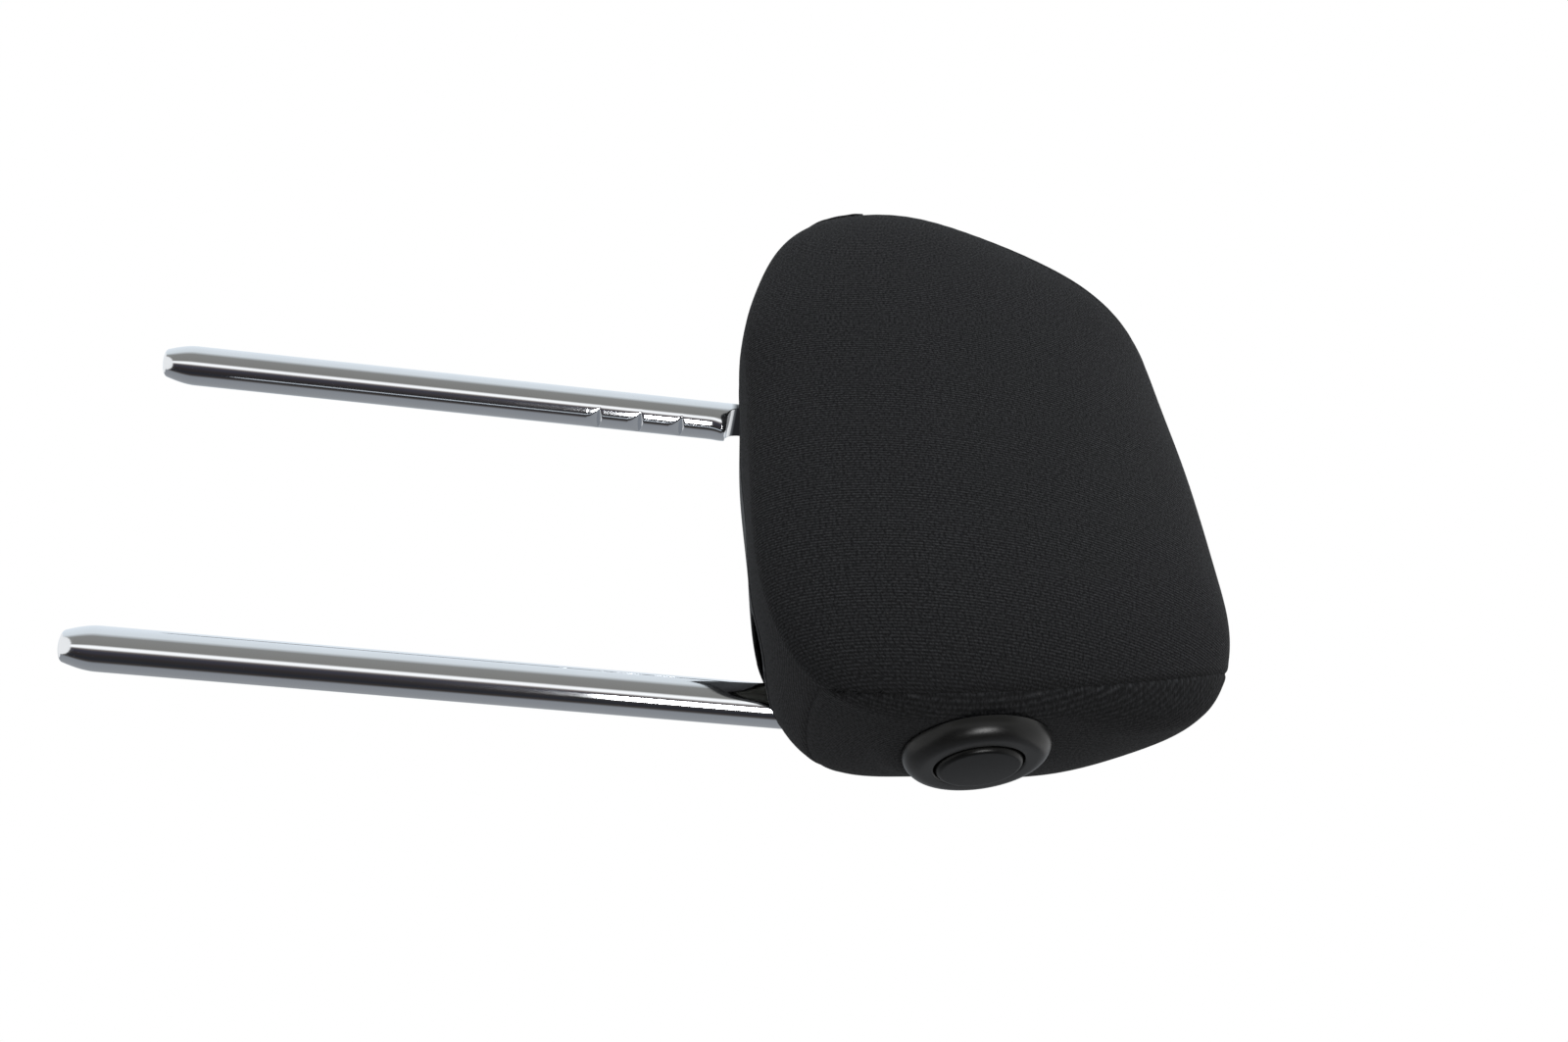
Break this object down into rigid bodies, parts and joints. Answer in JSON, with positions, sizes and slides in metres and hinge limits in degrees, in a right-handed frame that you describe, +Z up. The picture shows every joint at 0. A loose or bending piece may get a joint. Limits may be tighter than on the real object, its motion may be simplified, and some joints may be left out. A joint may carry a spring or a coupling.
{
  "type": "car headrest",
  "caption": "Padded car headrest on a bent steel stay; the fabric head tilts forward and a push button on its side releases it.",
  "frame": {"origin": "midway between the two post tips, on the plane of their flat ends", "axes": "+Z up along the posts, -Y out of the padded front, +X towards the side with the button"},
  "size_m": [0.2325, 0.1049, 0.3573],
  "materials": {
    "chrome": "bright chrome plate",
    "steel": "zinc plated",
    "spring_steel": "drawn wire",
    "core_plastic": "moulded",
    "bush_plastic": "natural",
    "trim_plastic": "fine satin",
    "lining": "friction lining",
    "foam": "moulded foam",
    "fabric": "charcoal knit"
  },
  "bodies": {
    "stay": {"stay_frame": "chrome", "lock_plate": "steel"},
    "head": {"core_rear": "core_plastic", "core_front": "core_plastic", "core_screw_1": "steel", "core_screw_2": "steel", "core_screw_3": "steel", "core_screw_4": "steel", "pivot_bush_near": "bush_plastic", "pivot_bush_far": "bush_plastic", "reaction_pad": "lining", "lever_pin": "steel", "lever_spring": "spring_steel", "bezel_ring": "trim_plastic", "button_housing": "core_plastic", "housing_screw_1": "steel", "housing_screw_2": "steel", "button_spring": "spring_steel", "foam_pad": "foam", "cover_centre": "fabric", "cover_side_near": "fabric", "cover_side_far": "fabric", "bottom_cover": "trim_plastic"},
    "button": {"push_button": "trim_plastic"},
    "rod": {"release_rod": "steel"},
    "lever": {"lock_lever": "steel", "friction_lining": "lining"}
  },
  "joints": [
    {"name": "head_tilt", "type": "hinge", "parent": "stay", "child": "head", "pos_m": [0, 0, 0.285], "axis": [1, 0, 0], "range_deg": [0, 20]},
    {"name": "button_press", "type": "slide", "parent": "head", "child": "button", "axis": [-0.9745, -0.1938, -0.1132], "range_m": [0, 0.004], "stiffness_N_per_m": 500, "springref_m": -0.002, "deforming": ["button_spring"]},
    {"name": "rod_slide", "type": "slide", "parent": "head", "child": "rod", "axis": [-1, 0, 0], "range_m": [0, 0.004]},
    {"name": "lever_turn", "type": "hinge", "parent": "head", "child": "lever", "pos_m": [0.0238, -0.0357, 0.26575], "axis": [0, 0, -1], "range_deg": [0, 15.6], "deforming": ["lever_spring"]}
  ],
  "couplings": [
    {"joint": "rod_slide", "follows": "button_press", "ratio": 0.97448},
    {"joint": "lever_turn", "follows": "button_press", "rad_per_m": 67.2}
  ]
}
